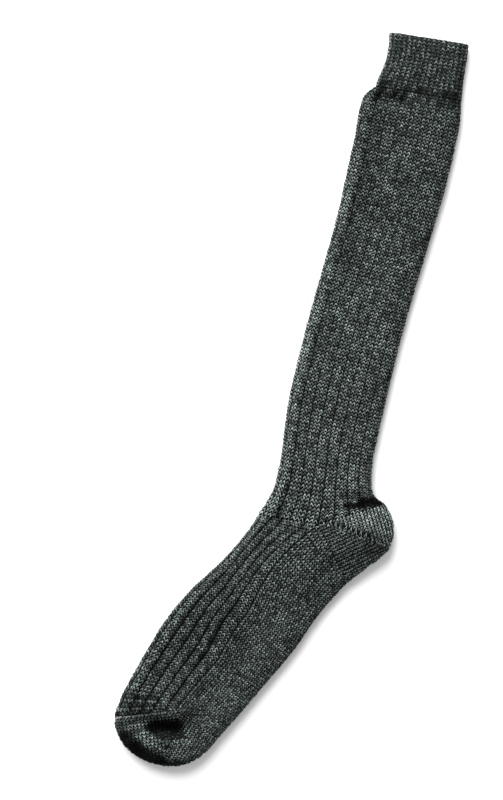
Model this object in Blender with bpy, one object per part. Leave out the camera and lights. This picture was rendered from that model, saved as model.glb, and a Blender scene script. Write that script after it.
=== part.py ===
"""A knee-high ribbed work sock in thick wool, lying on its side.

Metres, +Z up.  The leg runs along +Y and the foot turns away below it.  The sock lies on z = 0,
and the origin is under the middle of its bounding box.  Every section of the knitting is a loft
through stations.  Its inner face is lofted through the same stations, a wall's thickness further
in, because both ends of a wall have to stay in the line of their seam.
"""
import math

import bmesh
import bpy
import numpy as np

# Lengths and widths of the sock as it lies
LEG_LENGTH = 0.353          # heel corner to the bottom of the cuff
LEG_WIDTH = 0.077
CUFF_LENGTH = 0.0445
CUFF_WIDTH = 0.066
FOOT_LENGTH = 0.187         # heel corner to toe corner
FOOT_WIDTH = 0.096
INSTEP_REACH = 0.0486       # heel corner to the front of the ankle
HEEL_REACH = 0.0614         # heel corner to the back of the heel
TOE_REACH = 0.0515          # toe corner to the tip
LYING_HEIGHT = 0.012        # both walls and the air between them
WALL = 0.0022
SEAM_GAP = 0.0003           # between one section of the knitting and the next
SEAM_CORD = 0.0016          # thickness of the linked toe seam

# Directions in plan, in degrees from +X, anticlockwise
FOOT_TURN = -114.0          # the foot's own length
INSTEP_TURN = 184.5         # heel corner to the front of the ankle
HEEL_TOP_TURN = 29.6        # heel corner along the upper gore line
HEEL_SOLE_TURN = -50.8      # heel corner along the lower gore line
TOE_SEAM_TURN = -160.3      # toe corner along the linked seam
TOE_SOLE_TURN = -21.0       # toe corner along the lower gore line

# Ribs and relief
LEG_RIBS = 18
INSTEP_RIBS = 9
CUFF_RIBS = 36
RIB_DEPTH = 0.0009
CUFF_RIB_DEPTH = 0.0007
RIB_FLAT = 0.3              # half of a rib's raised face, as a share of the pitch
EDGE_ROUND = 0.75           # how far the rounded fold reaches in, as a share of the height
CROWN = 0.05                # how much higher the middle lies than the folds
GATHER_DEPTH = 0.0012
SEAM_START = 0.012          # how far the seam cord stays from the toe corner, as a share of a turn
SEAM_POINTS = 27

# Colours and finish of the wool
WOOL_CUFF = (0.032, 0.040, 0.038, 1.0)
WOOL_LEG = (0.056, 0.070, 0.066, 1.0)
WOOL_FOOT = (0.045, 0.055, 0.049, 1.0)
WOOL_POCKET = (0.050, 0.062, 0.057, 1.0)
WOOL_SEAM = (0.028, 0.034, 0.032, 1.0)
WOOL_ROUGHNESS = 0.95

# Columns: along as a share of CUFF_LENGTH; front, back and tilt as shares of CUFF_WIDTH; height as a
# share of LYING_HEIGHT
CUFF_ROWS = (
    (0.00, -0.518, 0.538, 0.058, 1.02),
    (0.16, -0.507, 0.529, 0.062, 0.98),
    (0.36, -0.477, 0.512, 0.065, 1.02),
    (0.62, -0.463, 0.497, 0.068, 1.06),
    (0.86, -0.480, 0.486, 0.070, 1.08),
    (1.00, -0.500, 0.477, 0.071, 1.08),
)

# Columns: along as a share of LEG_LENGTH; front, back and tilt as shares of LEG_WIDTH; height as a
# share of LYING_HEIGHT; ankle, how far the row is drawn towards the bent ankle line
LEG_ROWS = (
    (0.000, -0.500, 0.500, 0.00, 1.05, 1.00),
    (0.092, -0.440, 0.410, 0.00, 1.00, 0.72),
    (0.098, -0.465, 0.420, 0.00, 0.95, 0.40),
    (0.112, -0.510, 0.430, 0.00, 0.97, 0.15),
    (0.135, -0.534, 0.426, 0.00, 1.00, 0.00),
    (0.175, -0.555, 0.403, 0.00, 1.00, 0.00),
    (0.225, -0.580, 0.401, 0.00, 1.00, 0.00),
    (0.290, -0.594, 0.400, 0.00, 1.00, 0.00),
    (0.370, -0.588, 0.402, 0.00, 1.00, 0.00),
    (0.450, -0.580, 0.407, 0.00, 1.00, 0.00),
    (0.530, -0.562, 0.423, 0.00, 1.02, 0.00),
    (0.620, -0.540, 0.450, 0.00, 1.04, 0.00),
    (0.710, -0.526, 0.480, 0.00, 1.06, 0.00),
    (0.800, -0.534, 0.504, 0.00, 1.08, 0.00),
    (0.880, -0.536, 0.508, 0.01, 1.08, 0.00),
    (0.935, -0.552, 0.504, 0.03, 1.06, 0.00),
    (0.966, -0.550, 0.494, 0.04, 1.04, 0.00),
    (0.986, -0.515, 0.477, 0.05, 1.02, 0.00),
    (1.000, -0.444, 0.461, 0.05, 1.02, 0.00),
)

# Columns: along as a share of FOOT_LENGTH; front, mid and back as shares of FOOT_WIDTH; front and
# back height as shares of LYING_HEIGHT; ankle and toe, how far the row is drawn towards those lines
FOOT_ROWS = (
    (0.000, -0.500, 0.000, 0.500, 1.05, 1.05, 1.00, 0.00),
    (0.225, -0.425, -0.130, 0.470, 1.02, 1.02, 0.72, 0.00),
    (0.250, -0.430, -0.156, 0.468, 1.00, 1.00, 0.38, 0.00),
    (0.285, -0.438, -0.157, 0.460, 1.00, 1.00, 0.10, 0.00),
    (0.370, -0.455, -0.157, 0.462, 1.00, 1.00, 0.00, 0.00),
    (0.460, -0.488, -0.157, 0.475, 1.02, 1.02, 0.00, 0.00),
    (0.560, -0.522, -0.157, 0.469, 1.05, 1.05, 0.00, 0.00),
    (0.660, -0.536, -0.130, 0.456, 1.08, 1.06, 0.00, 0.00),
    (0.750, -0.534, -0.098, 0.446, 1.12, 1.08, 0.00, 0.00),
    (0.815, -0.540, -0.092, 0.440, 1.18, 1.10, 0.00, 0.30),
    (0.840, -0.590, -0.090, 0.440, 1.24, 1.12, 0.00, 0.68),
    (1.000, -0.500, 0.000, 0.500, 1.30, 1.15, 0.00, 1.00),
)

# Columns: turn as a share of the way from the upper gore line to the lower one; reach as a share of
# HEEL_REACH; rim height as a share of LYING_HEIGHT; rise of the middle as a share of LYING_HEIGHT
HEEL_ROWS = (
    (0.00, 0.912, 1.05, 0.00),
    (0.08, 0.945, 1.14, 0.14),
    (0.18, 0.982, 1.22, 0.26),
    (0.32, 1.000, 1.28, 0.34),
    (0.45, 0.984, 1.30, 0.34),
    (0.56, 0.925, 1.28, 0.28),
    (0.68, 0.865, 1.22, 0.20),
    (0.84, 0.843, 1.12, 0.10),
    (1.00, 0.857, 1.05, 0.00),
)

# Columns: turn as a share of the way from the linked seam to the lower gore line; reach as a share
# of TOE_REACH; rim height as a share of LYING_HEIGHT; fold as a share of GATHER_DEPTH
TOE_ROWS = (
    (0.000, 0.988, 1.30, 0.0),
    (0.040, 1.000, 1.30, -0.9),
    (0.085, 1.002, 1.35, 1.0),
    (0.130, 1.000, 1.40, -1.0),
    (0.175, 0.990, 1.45, 0.9),
    (0.220, 0.975, 1.50, -0.7),
    (0.270, 0.955, 1.54, 0.5),
    (0.330, 0.930, 1.55, 0.0),
    (0.400, 0.905, 1.55, 0.0),
    (0.480, 0.885, 1.52, 0.0),
    (0.560, 0.866, 1.48, 0.0),
    (0.640, 0.848, 1.42, 0.0),
    (0.720, 0.822, 1.36, 0.0),
    (0.800, 0.794, 1.30, 0.0),
    (0.880, 0.772, 1.24, 0.0),
    (0.945, 0.767, 1.18, 0.0),
    (1.000, 0.767, 1.15, 0.0),
)

# Dents in the upper face.  Columns: across and along as shares of the piece's width and length;
# half length and half breadth as shares of the width; turn in degrees; depth as a share of
# LYING_HEIGHT
LEG_DENTS = (
    (-0.30, 0.968, 0.18, 0.07, 0.0, 0.26),
    (-0.26, 0.890, 0.42, 0.05, 103.0, 0.15),
    (0.36, 0.565, 0.14, 0.11, 60.0, 0.16),
    (0.28, 0.270, 0.22, 0.11, 80.0, 0.16),
    (0.42, 0.078, 0.22, 0.06, 8.0, 0.30),
    (-0.44, 0.020, 0.18, 0.05, -35.0, 0.12),
)
FOOT_DENTS = (
    (0.06, 0.438, 0.15, 0.10, 20.0, 0.15),
    (0.38, 0.250, 0.12, 0.08, 70.0, 0.20),
    (0.07, 0.880, 0.10, 0.06, -20.0, 0.14),
    (0.02, 1.085, 0.21, 0.085, -22.0, 0.78),
)

# Places round a section, as shares of a quarter of the way round, counted from the fold
SOLE_PLACES = (0.00, 0.07, 0.15, 0.25, 0.37, 0.50, 0.64, 0.80, 1.00)
TOE_PLACES = (0.00, 0.06, 0.13, 0.21, 0.30, 0.40, 0.50, 0.60, 0.70, 0.80, 0.90, 1.00)
EDGE_SAMPLES = 120
MERGE = 2e-5
SHARP_ANGLE = 50.0

# Where a station keeps its three places in plan and its three heights
FRONT, MID, BACK = slice(0, 2), slice(2, 4), slice(4, 6)
FRONT_HEIGHT, MID_HEIGHT, BACK_HEIGHT = 6, 7, 8


def heading(degrees):
    return np.array((math.cos(math.radians(degrees)), math.sin(math.radians(degrees))))


FOOT_ALONG = heading(FOOT_TURN)
FOOT_ACROSS = heading(FOOT_TURN + 90.0)
HEEL_CORNER = np.zeros(2)
TOE_CORNER = FOOT_ALONG * FOOT_LENGTH


def station(front, mid, back, front_height, back_height):
    """A line across the sock in plan, and how high the sock lies at its two folds and its middle."""
    mid_height = 0.5 * (front_height + back_height) * (1.0 + CROWN)
    return np.array((*front, *mid, *back, front_height, mid_height, back_height))


def ankle_line(back_turn, back_reach):
    """From the front of the ankle to the heel corner, and on along one of the heel's gore lines."""
    front = heading(INSTEP_TURN) * INSTEP_REACH
    back = heading(back_turn) * back_reach * HEEL_REACH
    height = LEG_ROWS[0][4] * LYING_HEIGHT
    return station(front, HEEL_CORNER, back, height, height)


def upper_ankle():
    return ankle_line(HEEL_TOP_TURN, HEEL_ROWS[0][1])


def lower_ankle():
    return ankle_line(HEEL_SOLE_TURN, HEEL_ROWS[-1][1])


def toe_line():
    front = TOE_CORNER + heading(TOE_SEAM_TURN) * TOE_REACH * TOE_ROWS[0][1]
    back = TOE_CORNER + heading(TOE_SOLE_TURN) * TOE_REACH * TOE_ROWS[-1][1]
    front_height = TOE_ROWS[0][2] * LYING_HEIGHT
    back_height = TOE_ROWS[-1][2] * LYING_HEIGHT
    return station(front, TOE_CORNER, back, front_height, back_height)


def set_back(line, front_gap, back_gap):
    """Moves a bent line sideways, to the left of the way from its front to its back."""
    front, mid, back = line[FRONT], line[MID], line[BACK]
    first = (mid - front) / np.linalg.norm(mid - front)
    second = (back - mid) / np.linalg.norm(back - mid)
    first_left = np.array((-first[1], first[0]))
    second_left = np.array((-second[1], second[0]))
    shift = np.linalg.solve(np.array((first_left, second_left)), np.array((front_gap, back_gap)))
    moved = line.copy()
    moved[FRONT] = front + first_left * front_gap
    moved[MID] = mid + shift
    moved[BACK] = back + second_left * back_gap
    return moved


def cuff_stations():
    stations = []
    for along, front, back, tilt, height in CUFF_ROWS:
        y = LEG_LENGTH + SEAM_GAP + along * CUFF_LENGTH
        rise = tilt * CUFF_WIDTH * 0.5
        low = np.array((front * CUFF_WIDTH, y - rise))
        high = np.array((back * CUFF_WIDTH, y + rise))
        stations.append(station(low, (low + high) / 2, high, height * LYING_HEIGHT, height * LYING_HEIGHT))
    return stations


def leg_stations():
    ankle = set_back(upper_ankle(), SEAM_GAP / 2, SEAM_GAP / 2)
    stations = []
    for along, front, back, tilt, height, draw in LEG_ROWS:
        y = along * LEG_LENGTH
        rise = tilt * LEG_WIDTH * 0.5
        low = np.array((front * LEG_WIDTH, y - rise))
        high = np.array((back * LEG_WIDTH, y + rise))
        straight = station(low, (low + high) / 2, high, height * LYING_HEIGHT, height * LYING_HEIGHT)
        stations.append(straight * (1.0 - draw) + ankle * draw)
    return stations


def foot_stations():
    ankle = set_back(lower_ankle(), -SEAM_GAP / 2, -SEAM_GAP / 2)
    toe = set_back(toe_line(), SEAM_GAP + SEAM_CORD / 2, SEAM_GAP / 2)
    stations = []
    for along, front, mid, back, front_height, back_height, draw_ankle, draw_toe in FOOT_ROWS:
        centre = FOOT_ALONG * along * FOOT_LENGTH
        places = [centre + FOOT_ACROSS * share * FOOT_WIDTH for share in (front, mid, back)]
        straight = station(*places, front_height * LYING_HEIGHT, back_height * LYING_HEIGHT)
        plain = 1.0 - draw_ankle - draw_toe
        stations.append(straight * plain + ankle * draw_ankle + toe * draw_toe)
    return stations


def dent_depth(x, y):
    """How far the upper face is pressed down at a place in plan."""
    depth = np.zeros_like(x)
    for rows, width, length, across_axis, along_axis in (
        (LEG_DENTS, LEG_WIDTH, LEG_LENGTH, heading(0.0), heading(90.0)),
        (FOOT_DENTS, FOOT_WIDTH, FOOT_LENGTH, FOOT_ACROSS, FOOT_ALONG),
    ):
        for across, along, reach, breadth, turn, deep in rows:
            centre = across_axis * across * width + along_axis * along * length
            run = math.cos(math.radians(turn)) * across_axis + math.sin(math.radians(turn)) * along_axis
            side = math.cos(math.radians(turn)) * along_axis - math.sin(math.radians(turn)) * across_axis
            off_run = (x - centre[0]) * run[0] + (y - centre[1]) * run[1]
            off_side = (x - centre[0]) * side[0] + (y - centre[1]) * side[1]
            near = (off_run / (reach * width)) ** 2 + (off_side / (breadth * width)) ** 2
            depth += deep * LYING_HEIGHT * np.exp(-near)
    return depth


def quarter(fold, mid, fold_height, mid_height, places, relief, upper):
    """Points from a fold (place 0) to the middle (place 1), over or under the sock."""
    width = np.linalg.norm(mid - fold)
    share = 1.0 - np.cos(np.linspace(0.0, math.pi / 2, EDGE_SAMPLES))
    across = share * width
    reach = EDGE_ROUND * fold_height
    swing = np.sqrt(1.0 - (1.0 - np.minimum(across / reach, 1.0)) ** 2)
    plateau = fold_height + (mid_height - fold_height) * np.sin(share * math.pi / 2)
    half = fold_height / 2
    height = half + (plateau - half) * swing if upper else half - half * swing
    steps = np.hypot(np.diff(across), np.diff(height))
    run = np.concatenate(([0.0], np.cumsum(steps)))
    out_across = -np.gradient(height, run) if upper else np.gradient(height, run)
    out_height = np.gradient(across, run) if upper else -np.gradient(across, run)
    wanted = np.asarray(places) * run[-1]
    along = (mid - fold) / width
    inward = np.interp(wanted, run, across) - relief * np.interp(wanted, run, out_across)
    z = np.interp(wanted, run, height) - relief * np.interp(wanted, run, out_height)
    outer_across = np.interp(wanted, run, across)
    if upper:
        pressed = np.interp(wanted, run, swing) ** 2
        z = z - dent_depth(fold[0] + along[0] * outer_across, fold[1] + along[1] * outer_across) * pressed
    return np.column_stack((fold[0] + along[0] * inward, fold[1] + along[1] * inward, z))


def ring(line, turns, relief):
    """Points round a section.  Turn 0 is the front fold, 0.5 the back fold, 0.25 the upper middle."""
    turns = np.asarray(turns) % 1.0
    relief = np.asarray(relief)
    points = np.zeros((len(turns), 3))
    quarters = (
        (0.0, FRONT, FRONT_HEIGHT, True, True),
        (0.25, BACK, BACK_HEIGHT, True, False),
        (0.5, BACK, BACK_HEIGHT, False, True),
        (0.75, FRONT, FRONT_HEIGHT, False, False),
    )
    for start, fold, height, upper, from_fold in quarters:
        chosen = (turns >= start) & (turns < start + 0.25)
        share = (turns[chosen] - start) / 0.25
        places = share if from_fold else 1.0 - share
        points[chosen] = quarter(line[fold], line[MID], line[height], line[MID_HEIGHT], places,
                                 relief[chosen], upper)
    return points


def rib_turns(ribs, first, last):
    """Turns of the two edges of each rib's raised face and of the groove after it."""
    turns = []
    grooves = []
    for rib in range(first, last + 1):
        for place, sunk in ((-RIB_FLAT, 0.0), (RIB_FLAT, 0.0), (0.5, 1.0)):
            turns.append((rib + place) / ribs)
            grooves.append(sunk)
    return turns, grooves


def grid_faces(first, rows, count, closed, turned):
    """Quads between neighbouring rows of points, which face inwards where turned."""
    faces = []
    for row in range(rows - 1):
        for place in range(count if closed else count - 1):
            after = (place + 1) % count
            low, high = first + row * count, first + (row + 1) * count
            quad = (low + place, low + after, high + after, high + place)
            faces.append(quad[::-1] if turned else quad)
    return faces


def end_faces(outer, inner, count, closed, turned):
    """Quads that close the end of a wall, from a row of its outer face to the same row inside."""
    faces = []
    for place in range(count if closed else count - 1):
        after = (place + 1) % count
        quad = (outer + place, inner + place, inner + after, outer + after)
        faces.append(quad[::-1] if turned else quad)
    return faces


def loft_wall(name, outer, inner, closed, material):
    """A wall between two faces lofted through rows of points, one object with closed ends."""
    rows, count = len(outer), len(outer[0])
    verts = [tuple(point) for row in outer + inner for point in row]
    inside = rows * count
    last = (rows - 1) * count
    faces = grid_faces(0, rows, count, closed, False) + grid_faces(inside, rows, count, closed, True)
    faces += end_faces(0, inside, count, closed, False)
    faces += end_faces(last, inside + last, count, closed, True)
    mesh = bpy.data.meshes.new(name)
    mesh.from_pydata(verts, [], faces)
    wall = bmesh.new()
    wall.from_mesh(mesh)
    bmesh.ops.remove_doubles(wall, verts=wall.verts, dist=MERGE)
    bmesh.ops.triangulate(wall, faces=wall.faces)
    wall.to_mesh(mesh)
    wall.free()
    mesh.shade_smooth()
    mesh.set_sharp_from_angle(angle=math.radians(SHARP_ANGLE))
    mesh.materials.append(material)
    return bpy.data.objects.new(name, mesh)


def wool(name, colour):
    material = bpy.data.materials.new(name)
    material.use_nodes = True
    shader = material.node_tree.nodes["Principled BSDF"]
    shader.inputs["Base Color"].default_value = colour
    shader.inputs["Roughness"].default_value = WOOL_ROUGHNESS
    shader.inputs["Metallic"].default_value = 0.0
    return material


def tube(name, stations, turns, relief, move, material):
    """A tube of knitting through its stations, with its relief on both faces."""
    relief = np.asarray(relief)
    outer = [move(ring(line, turns, relief)) for line in stations]
    inner = [move(ring(line, turns, relief + WALL)) for line in stations]
    return loft_wall(name, outer, inner, True, material)


def make_cuff(move):
    turns = [place / (2 * CUFF_RIBS) for place in range(2 * CUFF_RIBS)]
    relief = [CUFF_RIB_DEPTH * (place % 2) for place in range(2 * CUFF_RIBS)]
    return tube("cuff", cuff_stations(), turns, relief, move, wool("cuff_wool", WOOL_CUFF))


def make_leg(move):
    turns, grooves = rib_turns(LEG_RIBS, 0, LEG_RIBS - 1)
    relief = [RIB_DEPTH * sunk for sunk in grooves]
    return tube("leg", leg_stations(), turns, relief, move, wool("leg_wool", WOOL_LEG))


def make_foot(move):
    side = (INSTEP_RIBS - 1) // 2
    turns, grooves = rib_turns(2 * INSTEP_RIBS, -side, side)
    turns = [-0.25] + turns
    relief = [RIB_DEPTH] + [RIB_DEPTH * sunk for sunk in grooves]
    upper = [0.5 - 0.25 * place for place in reversed(SOLE_PLACES[:-1])]
    lower = [0.5 + 0.25 * place for place in SOLE_PLACES[1:-1]]
    turns += upper + lower
    relief += [0.0] * (len(upper) + len(lower))
    return tube("foot", foot_stations()[::-1], turns, relief, move, wool("foot_wool", WOOL_FOOT))


def pocket_ray(corner, shifted, ray, corner_height, places, relief):
    """From a pocket's corner over the upper face, round the rim and back beneath, in one direction."""
    turn, reach, rim_height, rise, fold = ray
    direction = heading(turn)
    rim = shifted + direction * (reach - np.dot(shifted - corner, direction))
    upper = quarter(rim, shifted, rim_height, corner_height, places, relief, True)
    lower = quarter(rim, shifted, rim_height, corner_height, places, relief, False)
    places = np.asarray(places)
    swell = np.sin(places * math.pi)
    near_rim = np.sin(np.minimum(places * 2.0, 1.0) * math.pi / 2) * (1.0 - places)
    upper[:, 2] += rise * swell + fold * near_rim
    return np.vstack((upper[::-1], lower[1:]))


def pocket(name, corner, shifted, rays, corner_height, places, move, material):
    """A pocket of knitting whose rays fan out round its corner."""
    outer = [move(pocket_ray(corner, shifted, ray, corner_height, places, 0.0)) for ray in rays]
    inner = [move(pocket_ray(corner, shifted, ray, corner_height, places, WALL)) for ray in rays]
    return loft_wall(name, outer, inner, False, material)


def make_heel(move):
    opening = HEEL_TOP_TURN - HEEL_SOLE_TURN
    away = SEAM_GAP / 2 / math.sin(math.radians(opening / 2))
    shifted = HEEL_CORNER + heading((HEEL_TOP_TURN + HEEL_SOLE_TURN) / 2) * away
    rays = []
    for turn, reach, height, rise in reversed(HEEL_ROWS):
        rays.append((HEEL_TOP_TURN - turn * opening, reach * HEEL_REACH, height * LYING_HEIGHT,
                     rise * LYING_HEIGHT, 0.0))
    corner_height = upper_ankle()[MID_HEIGHT]
    return pocket("heel", HEEL_CORNER, shifted, rays, corner_height, SOLE_PLACES, move,
                  wool("heel_wool", WOOL_POCKET))


def toe_corner_inside():
    """The toe pocket's own corner, clear of the seam on one side and of the sole on the other."""
    line = set_back(toe_line(), -SEAM_GAP - SEAM_CORD / 2, -SEAM_GAP / 2)
    return line[MID], line[MID_HEIGHT]


def make_toe(move):
    shifted, corner_height = toe_corner_inside()
    rays = []
    for turn, reach, height, fold in TOE_ROWS:
        rays.append((TOE_SEAM_TURN + turn * (TOE_SOLE_TURN - TOE_SEAM_TURN), reach * TOE_REACH,
                     height * LYING_HEIGHT, 0.0, fold * GATHER_DEPTH))
    return pocket("toe", TOE_CORNER, shifted, rays, corner_height, TOE_PLACES, move,
                  wool("toe_wool", WOOL_POCKET))


def make_toe_seam(move):
    """A cord along the line between the instep and the toe pocket, flush with their outer faces."""
    turns = np.linspace(SEAM_START - 0.25, 0.25 - SEAM_START, SEAM_POINTS)
    points = move(ring(toe_line(), turns, np.full(SEAM_POINTS, SEAM_CORD / 2)))
    curve = bpy.data.curves.new("toe_seam", "CURVE")
    curve.dimensions = "3D"
    curve.bevel_depth = SEAM_CORD / 2
    curve.bevel_resolution = 1
    curve.use_fill_caps = True
    spline = curve.splines.new("POLY")
    spline.points.add(len(points) - 1)
    for spot, point in zip(spline.points, points):
        spot.co = (*point, 1.0)
    curve.materials.append(wool("seam_wool", WOOL_SEAM))
    return bpy.data.objects.new("toe_seam", curve)


def plan_middle():
    """The middle of the outline in plan, which becomes the origin."""
    turns = (0.0, 0.5)
    flat = (0.0, 0.0)
    lines = cuff_stations() + leg_stations() + foot_stations() + [toe_line()]
    edges = [ring(line, turns, flat)[:, :2] for line in lines]
    for turn, reach, _height, _rise in HEEL_ROWS:
        degrees = HEEL_TOP_TURN + turn * (HEEL_SOLE_TURN - HEEL_TOP_TURN)
        edges.append([HEEL_CORNER + heading(degrees) * reach * HEEL_REACH])
    for turn, reach, _height, _fold in TOE_ROWS:
        degrees = TOE_SEAM_TURN + turn * (TOE_SOLE_TURN - TOE_SEAM_TURN)
        edges.append([TOE_CORNER + heading(degrees) * reach * TOE_REACH])
    places = np.vstack(edges)
    return (places.min(axis=0) + places.max(axis=0)) / 2


def main():
    for old in list(bpy.data.objects):
        bpy.data.objects.remove(old, do_unlink=True)
    sock = bpy.data.collections.new("work_sock")
    bpy.context.scene.collection.children.link(sock)
    middle = plan_middle()

    def move(points):
        return points - np.array((middle[0], middle[1], 0.0))

    for make in (make_cuff, make_leg, make_heel, make_foot, make_toe, make_toe_seam):
        sock.objects.link(make(move))


main()
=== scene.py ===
"""Work sock: the looks of the knitting, the floor, the light and the camera.

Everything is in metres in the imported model's frame.  The cloth's surfaces repeat the sizes and the
tables of the solids, but the instep's stitches have two more ribs than its solid.  On each section of
cloth lie its stitches, made in Geometry Nodes.
"""
import math

import bpy
import numpy as np
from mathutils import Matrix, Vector


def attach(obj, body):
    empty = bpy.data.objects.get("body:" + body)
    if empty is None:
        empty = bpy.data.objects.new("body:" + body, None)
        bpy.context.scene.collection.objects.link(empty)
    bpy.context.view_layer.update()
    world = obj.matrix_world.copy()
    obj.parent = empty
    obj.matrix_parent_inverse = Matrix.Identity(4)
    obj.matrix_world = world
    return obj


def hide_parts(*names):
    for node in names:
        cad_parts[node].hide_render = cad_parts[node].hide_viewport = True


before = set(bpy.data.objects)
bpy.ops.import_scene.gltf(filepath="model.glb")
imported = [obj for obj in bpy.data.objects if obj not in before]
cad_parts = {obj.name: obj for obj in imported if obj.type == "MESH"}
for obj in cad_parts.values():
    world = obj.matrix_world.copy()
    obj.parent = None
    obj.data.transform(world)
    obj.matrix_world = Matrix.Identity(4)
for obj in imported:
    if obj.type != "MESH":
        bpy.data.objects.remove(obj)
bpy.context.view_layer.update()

# Lengths and widths of the sock as it lies
LEG_LENGTH = 0.353
LEG_WIDTH = 0.077
CUFF_LENGTH = 0.0445
CUFF_WIDTH = 0.066
FOOT_LENGTH = 0.187
FOOT_WIDTH = 0.096
INSTEP_REACH = 0.0486
HEEL_REACH = 0.0614
TOE_REACH = 0.0515
LYING_HEIGHT = 0.012
WALL = 0.0022
SEAM_GAP = 0.0003
SEAM_CORD = 0.0016

# Directions in plan, in degrees
FOOT_TURN = -114.0
INSTEP_TURN = 184.5
HEEL_TOP_TURN = 29.6
HEEL_SOLE_TURN = -50.8
HEEL_SUTURE_TURN = -5.0
TOE_SEAM_TURN = -160.3
TOE_SOLE_TURN = -21.0
TOE_SUTURE_TURN = -96.0
LARGEST_TURN = 60.0

# The photograph: its turn against the leg, its scale, and where the heel corner is in it, in pixels
PHOTO_TURN = 13.0
PIXEL = 0.0008
PHOTO_HEIGHT = 800
HEEL_CORNER_PIXEL = (318.0, 524.0)

# Knitting
LEG_RIBS = 18
LEG_COURSES = 123
INSTEP_RIBS = 11
FOOT_COURSES = 72
CUFF_RIBS = 36
CUFF_COURSES = 16
RIB_WALES = 3
SOLE_WALES = 43
RIB_DEPTH = 0.0009
CUFF_RIB_DEPTH = 0.0007
POCKET_WALE = 0.0029
POCKET_COURSE = 0.0024
POCKET_COURSES = 40
POCKET_WALES = (-20, 40)
PROBE = 0.0006
RIM_ROLL = 0.35
EDGE_ROUND = 0.75
CROWN = 0.05
GATHER_DEPTH = 0.0012
YARN = 0.00052
LOOP_WIDTH = 0.0030
LOOP_HEIGHT = 0.0027
SCATTER = 0.00013
SKIN_SINK = 0.0010
DEEPEST_SKIN_SINK = 0.0008
INSTEP_CLOSE = 0.84
LINING_COURSES = 5
EDGE_LINK_WIDTH = 0.0024
SEAM_LINK = 0.0026
SEAM_LINK_WIDTH = 0.0022
SEED = 7

# Columns: along, front, back, tilt, height
CUFF_ROWS = (
    (0.00, -0.518, 0.538, 0.058, 1.02),
    (0.16, -0.507, 0.529, 0.062, 0.98),
    (0.36, -0.477, 0.512, 0.065, 1.02),
    (0.62, -0.463, 0.497, 0.068, 1.06),
    (0.86, -0.480, 0.486, 0.070, 1.08),
    (1.00, -0.500, 0.477, 0.071, 1.08),
)

# Columns: along, front, back, tilt, height, ankle
LEG_ROWS = (
    (0.000, -0.500, 0.500, 0.00, 1.05, 1.00),
    (0.092, -0.440, 0.410, 0.00, 1.00, 0.72),
    (0.098, -0.465, 0.420, 0.00, 0.95, 0.40),
    (0.112, -0.510, 0.430, 0.00, 0.97, 0.15),
    (0.135, -0.534, 0.426, 0.00, 1.00, 0.00),
    (0.175, -0.555, 0.403, 0.00, 1.00, 0.00),
    (0.225, -0.580, 0.401, 0.00, 1.00, 0.00),
    (0.290, -0.594, 0.400, 0.00, 1.00, 0.00),
    (0.370, -0.588, 0.402, 0.00, 1.00, 0.00),
    (0.450, -0.580, 0.407, 0.00, 1.00, 0.00),
    (0.530, -0.562, 0.423, 0.00, 1.02, 0.00),
    (0.620, -0.540, 0.450, 0.00, 1.04, 0.00),
    (0.710, -0.526, 0.480, 0.00, 1.06, 0.00),
    (0.800, -0.534, 0.504, 0.00, 1.08, 0.00),
    (0.880, -0.536, 0.508, 0.01, 1.08, 0.00),
    (0.935, -0.552, 0.504, 0.03, 1.06, 0.00),
    (0.966, -0.550, 0.494, 0.04, 1.04, 0.00),
    (0.986, -0.515, 0.477, 0.05, 1.02, 0.00),
    (1.000, -0.444, 0.461, 0.05, 1.02, 0.00),
)

# Columns: along, front, mid, back, front height, back height, ankle, toe
FOOT_ROWS = (
    (0.000, -0.500, 0.000, 0.500, 1.05, 1.05, 1.00, 0.00),
    (0.225, -0.425, -0.130, 0.470, 1.02, 1.02, 0.72, 0.00),
    (0.250, -0.430, -0.156, 0.468, 1.00, 1.00, 0.38, 0.00),
    (0.285, -0.438, -0.157, 0.460, 1.00, 1.00, 0.10, 0.00),
    (0.370, -0.455, -0.157, 0.462, 1.00, 1.00, 0.00, 0.00),
    (0.460, -0.488, -0.157, 0.475, 1.02, 1.02, 0.00, 0.00),
    (0.560, -0.522, -0.157, 0.469, 1.05, 1.05, 0.00, 0.00),
    (0.660, -0.536, -0.130, 0.456, 1.08, 1.06, 0.00, 0.00),
    (0.750, -0.534, -0.098, 0.446, 1.12, 1.08, 0.00, 0.00),
    (0.815, -0.540, -0.092, 0.440, 1.18, 1.10, 0.00, 0.30),
    (0.840, -0.590, -0.090, 0.440, 1.24, 1.12, 0.00, 0.68),
    (1.000, -0.500, 0.000, 0.500, 1.30, 1.15, 0.00, 1.00),
)

# Columns: turn from the upper gore line to the lower one, reach, rim height, rise
HEEL_ROWS = (
    (0.00, 0.912, 1.05, 0.00),
    (0.08, 0.945, 1.14, 0.14),
    (0.18, 0.982, 1.22, 0.26),
    (0.32, 1.000, 1.28, 0.34),
    (0.45, 0.984, 1.30, 0.34),
    (0.56, 0.925, 1.28, 0.28),
    (0.68, 0.865, 1.22, 0.20),
    (0.84, 0.843, 1.12, 0.10),
    (1.00, 0.857, 1.05, 0.00),
)

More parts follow.
